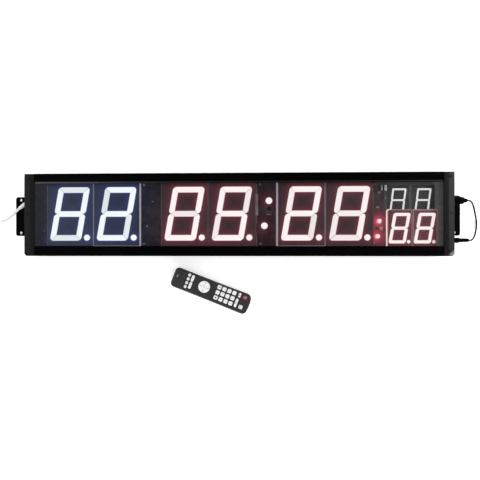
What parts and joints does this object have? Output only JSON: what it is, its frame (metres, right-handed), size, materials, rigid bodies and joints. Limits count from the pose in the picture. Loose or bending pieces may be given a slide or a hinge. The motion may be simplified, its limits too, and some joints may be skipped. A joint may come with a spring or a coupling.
{
  "type": "interval timer",
  "caption": "Long wall-mounted LED interval timer lying on its back, with end brackets, side cords and a separate handheld remote control.",
  "frame": {"origin": "middle of the case's flat back, on the surface that it lies on or is fixed to", "axes": "+X along the case to a reader's right, +Y to the top of the numerals, +Z out of the display towards the reader"},
  "size_m": [1.0224, 0.2672, 0.045],
  "materials": {
    "rail_black": "satin black anodised extrusion",
    "bracket_black": "black powder-coated folded steel",
    "cap_plastic": "satin moulded black plastic",
    "clear_lens": "clear polished acrylic",
    "module_case": "dark grey moulded numeral case with milky segments",
    "lamp_diffuser": "milky epoxy diffuser",
    "circuit_board": "dark solder mask",
    "zinc_case": "plain sheet metal",
    "white_flex": "smooth white soft sheath",
    "black_rubber": "matt black moulded rubber",
    "remote_shell": "fine-grained dark grey plastic",
    "cell_wrap": "plain wrapped dry cell",
    "key_red": "translucent dark red rubber key",
    "key_white": "white silicone key"
  },
  "bodies": {
    "timer": {"top_rail": "rail_black", "bottom_rail": "rail_black", "back_panel": "rail_black", "left_bracket": "bracket_black", "right_bracket": "bracket_black", "left_end_cap": "cap_plastic", "right_end_cap": "cap_plastic", "front_lens": "clear_lens", "hour_digit_tens": "module_case", "hour_digit_units": "module_case", "minute_digit_tens": "module_case", "minute_digit_units": "module_case", "second_digit_tens": "module_case", "second_digit_units": "module_case", "lower_digit_tens": "module_case", "lower_digit_units": "module_case", "upper_digit_tens": "module_case", "upper_digit_units": "module_case", "colon_lamp_upper": "lamp_diffuser", "colon_lamp_lower": "lamp_diffuser", "power_supply": "zinc_case", "mains_strain_relief": "white_flex", "mains_cord": "white_flex", "mains_coil": "white_flex", "mains_plug": "white_flex", "link_gland": "black_rubber", "link_cord": "black_rubber", "link_plug": "black_rubber", "display_board": "circuit_board", "control_board": "circuit_board"},
    "remote": {"remote_top_shell": "remote_shell", "remote_bottom_shell": "remote_shell", "remote_board": "circuit_board", "remote_cell_left": "cell_wrap", "remote_cell_right": "cell_wrap"},
    "battery_door": {"remote_battery_door": "remote_shell"},
    "number_key_1_cap": {"number_key_1": "key_white"},
    "number_key_2_cap": {"number_key_2": "key_white"},
    "number_key_3_cap": {"number_key_3": "key_white"},
    "number_key_4_cap": {"number_key_4": "key_white"},
    "number_key_5_cap": {"number_key_5": "key_white"},
    "number_key_6_cap": {"number_key_6": "key_white"},
    "number_key_7_cap": {"number_key_7": "key_white"},
    "number_key_8_cap": {"number_key_8": "key_white"},
    "number_key_9_cap": {"number_key_9": "key_white"},
    "number_key_0_cap": {"number_key_0": "key_white"},
    "clear_key_cap": {"clear_key": "key_white"},
    "enter_key_cap": {"enter_key": "key_white"},
    "program_key_1_cap": {"program_key_1": "key_white"},
    "program_key_2_cap": {"program_key_2": "key_white"},
    "program_key_3_cap": {"program_key_3": "key_white"},
    "program_key_4_cap": {"program_key_4": "key_white"},
    "round_key_up_cap": {"round_key_up": "key_white"},
    "round_key_down_cap": {"round_key_down": "key_white"},
    "mode_key_cap": {"mode_key": "key_white"},
    "start_key_cap": {"start_key": "key_white"},
    "reset_key_cap": {"reset_key": "key_white"},
    "power_key_cap": {"power_key": "key_red"},
    "arrow_ring_cap": {"arrow_ring": "key_white"},
    "select_key_cap": {"select_key": "key_white"}
  },
  "joints": [
    {"name": "remote_lift", "type": "slide", "parent": "timer", "child": "remote", "axis": [0, 0, 1], "range_m": [0, 0.12]},
    {"name": "battery_door_slide", "type": "slide", "parent": "remote", "child": "battery_door", "axis": [-0.9317, 0.3633, 0], "range_m": [0, 0.018]},
    {"name": "number_key_1_press", "type": "slide", "parent": "remote", "child": "number_key_1_cap", "axis": [0, 0, -1], "range_m": [0, 0.0008], "stiffness_N_per_m": 150},
    {"name": "number_key_2_press", "type": "slide", "parent": "remote", "child": "number_key_2_cap", "axis": [0, 0, -1], "range_m": [0, 0.0008], "stiffness_N_per_m": 150},
    {"name": "number_key_3_press", "type": "slide", "parent": "remote", "child": "number_key_3_cap", "axis": [0, 0, -1], "range_m": [0, 0.0008], "stiffness_N_per_m": 150},
    {"name": "number_key_4_press", "type": "slide", "parent": "remote", "child": "number_key_4_cap", "axis": [0, 0, -1], "range_m": [0, 0.0008], "stiffness_N_per_m": 150},
    {"name": "number_key_5_press", "type": "slide", "parent": "remote", "child": "number_key_5_cap", "axis": [0, 0, -1], "range_m": [0, 0.0008], "stiffness_N_per_m": 150},
    {"name": "number_key_6_press", "type": "slide", "parent": "remote", "child": "number_key_6_cap", "axis": [0, 0, -1], "range_m": [0, 0.0008], "stiffness_N_per_m": 150},
    {"name": "number_key_7_press", "type": "slide", "parent": "remote", "child": "number_key_7_cap", "axis": [0, 0, -1], "range_m": [0, 0.0008], "stiffness_N_per_m": 150},
    {"name": "number_key_8_press", "type": "slide", "parent": "remote", "child": "number_key_8_cap", "axis": [0, 0, -1], "range_m": [0, 0.0008], "stiffness_N_per_m": 150},
    {"name": "number_key_9_press", "type": "slide", "parent": "remote", "child": "number_key_9_cap", "axis": [0, 0, -1], "range_m": [0, 0.0008], "stiffness_N_per_m": 150},
    {"name": "number_key_0_press", "type": "slide", "parent": "remote", "child": "number_key_0_cap", "axis": [0, 0, -1], "range_m": [0, 0.0008], "stiffness_N_per_m": 150},
    {"name": "clear_key_press", "type": "slide", "parent": "remote", "child": "clear_key_cap", "axis": [0, 0, -1], "range_m": [0, 0.0008], "stiffness_N_per_m": 150},
    {"name": "enter_key_press", "type": "slide", "parent": "remote", "child": "enter_key_cap", "axis": [0, 0, -1], "range_m": [0, 0.0008], "stiffness_N_per_m": 150},
    {"name": "program_key_1_press", "type": "slide", "parent": "remote", "child": "program_key_1_cap", "axis": [0, 0, -1], "range_m": [0, 0.0008], "stiffness_N_per_m": 150},
    {"name": "program_key_2_press", "type": "slide", "parent": "remote", "child": "program_key_2_cap", "axis": [0, 0, -1], "range_m": [0, 0.0008], "stiffness_N_per_m": 150},
    {"name": "program_key_3_press", "type": "slide", "parent": "remote", "child": "program_key_3_cap", "axis": [0, 0, -1], "range_m": [0, 0.0008], "stiffness_N_per_m": 150},
    {"name": "program_key_4_press", "type": "slide", "parent": "remote", "child": "program_key_4_cap", "axis": [0, 0, -1], "range_m": [0, 0.0008], "stiffness_N_per_m": 150},
    {"name": "round_key_up_press", "type": "slide", "parent": "remote", "child": "round_key_up_cap", "axis": [0, 0, -1], "range_m": [0, 0.0008], "stiffness_N_per_m": 150},
    {"name": "round_key_down_press", "type": "slide", "parent": "remote", "child": "round_key_down_cap", "axis": [0, 0, -1], "range_m": [0, 0.0008], "stiffness_N_per_m": 150},
    {"name": "mode_key_press", "type": "slide", "parent": "remote", "child": "mode_key_cap", "axis": [0, 0, -1], "range_m": [0, 0.0008], "stiffness_N_per_m": 150},
    {"name": "start_key_press", "type": "slide", "parent": "remote", "child": "start_key_cap", "axis": [0, 0, -1], "range_m": [0, 0.0008], "stiffness_N_per_m": 150},
    {"name": "reset_key_press", "type": "slide", "parent": "remote", "child": "reset_key_cap", "axis": [0, 0, -1], "range_m": [0, 0.0008], "stiffness_N_per_m": 150},
    {"name": "power_key_press", "type": "slide", "parent": "remote", "child": "power_key_cap", "axis": [0, 0, -1], "range_m": [0, 0.0008], "stiffness_N_per_m": 150},
    {"name": "arrow_ring_press", "type": "slide", "parent": "remote", "child": "arrow_ring_cap", "axis": [0, 0, -1], "range_m": [0, 0.0008], "stiffness_N_per_m": 150},
    {"name": "select_key_press", "type": "slide", "parent": "remote", "child": "select_key_cap", "axis": [0, 0, -1], "range_m": [0, 0.0008], "stiffness_N_per_m": 150}
  ]
}
